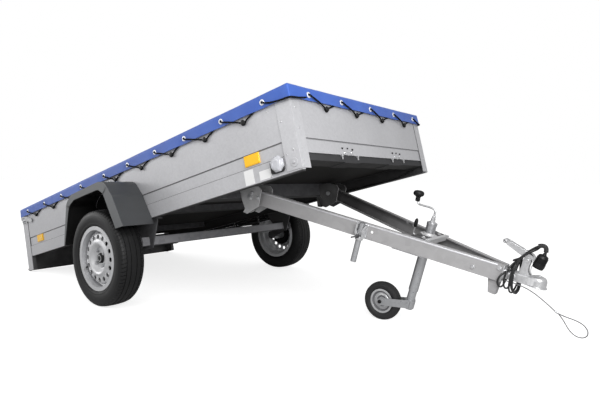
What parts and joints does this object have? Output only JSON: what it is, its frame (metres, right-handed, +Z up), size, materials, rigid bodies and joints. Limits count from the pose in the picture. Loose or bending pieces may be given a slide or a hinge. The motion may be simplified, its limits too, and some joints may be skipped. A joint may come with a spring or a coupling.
{
  "type": "single-axle tipping utility trailer with tarpaulin cover",
  "caption": "Single-axle utility trailer with a tipping sheet-steel bed, tarpaulin, mudguards, A-frame drawbar, ball coupling and jockey wheel; parked with its bed tipped back.",
  "frame": {"origin": "on the ground under the middle of the trailer's length and width, its cords left out", "axes": "+X towards the coupling, +Y to the trailer's left, +Z up"},
  "size_m": [3.7262, 1.6772, 1.1417],
  "materials": {
    "galvanised_sheet": "hot-dip galvanised",
    "galvanised_frame": "hot-dip galvanised, dull",
    "floor_board": "brown film-faced plywood",
    "blue_cover": "coated polyester",
    "guard_plastic": "grained",
    "black_plastic": "moulded",
    "black_rubber": "moulded",
    "tyre_rubber": "treaded",
    "wheel_silver": "silver lacquer",
    "zinc_plate": "zinc plated",
    "amber_lens": "prismatic",
    "white_lens": "clear",
    "red_lens": "prismatic",
    "plate_white": "blank"
  },
  "bodies": {
    "bed": {"floor_panel": "floor_board", "side_wall_left": "galvanised_sheet", "side_wall_right": "galvanised_sheet", "front_wall": "galvanised_sheet", "front_corner_posts": "galvanised_sheet", "rear_corner_posts": "galvanised_sheet", "rear_buffers": "black_rubber", "tailgate_latches": "zinc_plate", "chassis_side_rails": "galvanised_frame", "front_crossmember": "galvanised_frame", "pivot_crossmember": "galvanised_frame", "floor_crossmembers": "galvanised_frame", "pivot_brackets": "galvanised_frame", "pivot_bolts": "zinc_plate", "axle_beam": "galvanised_frame", "axle_brackets": "galvanised_frame", "swing_arms": "galvanised_frame", "mudguard_left": "guard_plastic", "mudguard_right": "guard_plastic", "mudguard_stays": "galvanised_frame", "tarpaulin": "blue_cover", "tarpaulin_hooks": "black_plastic", "side_reflectors": "amber_lens", "marker_lamp_bases": "black_plastic", "marker_lamp_lenses": "white_lens", "lamp_board": "galvanised_sheet", "rear_lamps": "red_lens", "rear_triangles": "red_lens", "number_plate": "plate_white"},
    "tailgate": {"tailgate": "galvanised_sheet"},
    "wheel_left": {"tyre_left": "tyre_rubber", "rim_left": "wheel_silver", "hub_left": "zinc_plate"},
    "wheel_right": {"tyre_right": "tyre_rubber", "rim_right": "wheel_silver", "hub_right": "zinc_plate"},
    "drawbar": {"drawbar_beam_left": "galvanised_frame", "drawbar_beam_right": "galvanised_frame", "jockey_mount_plates": "galvanised_frame", "jockey_outer_tube": "zinc_plate", "jockey_crank": "zinc_plate", "jockey_clamp_handle": "zinc_plate", "coupling_body": "zinc_plate", "coupling_handle": "zinc_plate", "coupling_foot": "galvanised_frame", "prop_clamp": "zinc_plate", "lead_coil": "black_rubber", "lead_tail": "black_rubber", "lead_plug": "black_plastic", "steel_cable": "zinc_plate", "steel_cable_loop": "zinc_plate", "steel_cable_ferrule": "zinc_plate"},
    "jockey_slider": {"jockey_inner_tube": "zinc_plate"},
    "jockey_caster": {"jockey_fork": "zinc_plate"},
    "jockey_wheel": {"jockey_tyre": "black_rubber", "jockey_rim": "wheel_silver"},
    "prop_leg": {"prop_leg": "zinc_plate"}
  },
  "joints": [
    {"name": "drawbar_tilt", "type": "hinge", "parent": "bed", "child": "drawbar", "pos_m": [0.44188, 0, 0.63706], "axis": [0, -1, 0], "range_deg": [0, 29.11]},
    {"name": "tailgate_drop", "type": "hinge", "parent": "bed", "child": "tailgate", "pos_m": [-1.70136, 0, 0.2024], "axis": [0, -1, 0], "range_deg": [0, 90]},
    {"name": "wheel_left_spin", "type": "hinge", "parent": "bed", "child": "wheel_left", "pos_m": [-0.3457, 0.761, 0.2735], "axis": [0, 1, 0], "continuous": true},
    {"name": "wheel_right_spin", "type": "hinge", "parent": "bed", "child": "wheel_right", "pos_m": [-0.3457, -0.761, 0.2735], "axis": [0, 1, 0], "continuous": true},
    {"name": "jockey_height", "type": "slide", "parent": "drawbar", "child": "jockey_slider", "axis": [-0.2585, 0, -0.966], "range_m": [-0.035, 0.2]},
    {"name": "jockey_swivel", "type": "hinge", "parent": "jockey_slider", "child": "jockey_caster", "pos_m": [1.15634, 0, 0.08841], "axis": [0.2585, 0, 0.966], "continuous": true},
    {"name": "jockey_spin", "type": "hinge", "parent": "jockey_caster", "child": "jockey_wheel", "pos_m": [1.01245, 0, 0.1], "axis": [0, 1, 0], "continuous": true},
    {"name": "prop_leg_slide", "type": "slide", "parent": "drawbar", "child": "prop_leg", "axis": [-0.2585, 0, -0.966], "range_m": [-0.085, 0.035]}
  ]
}
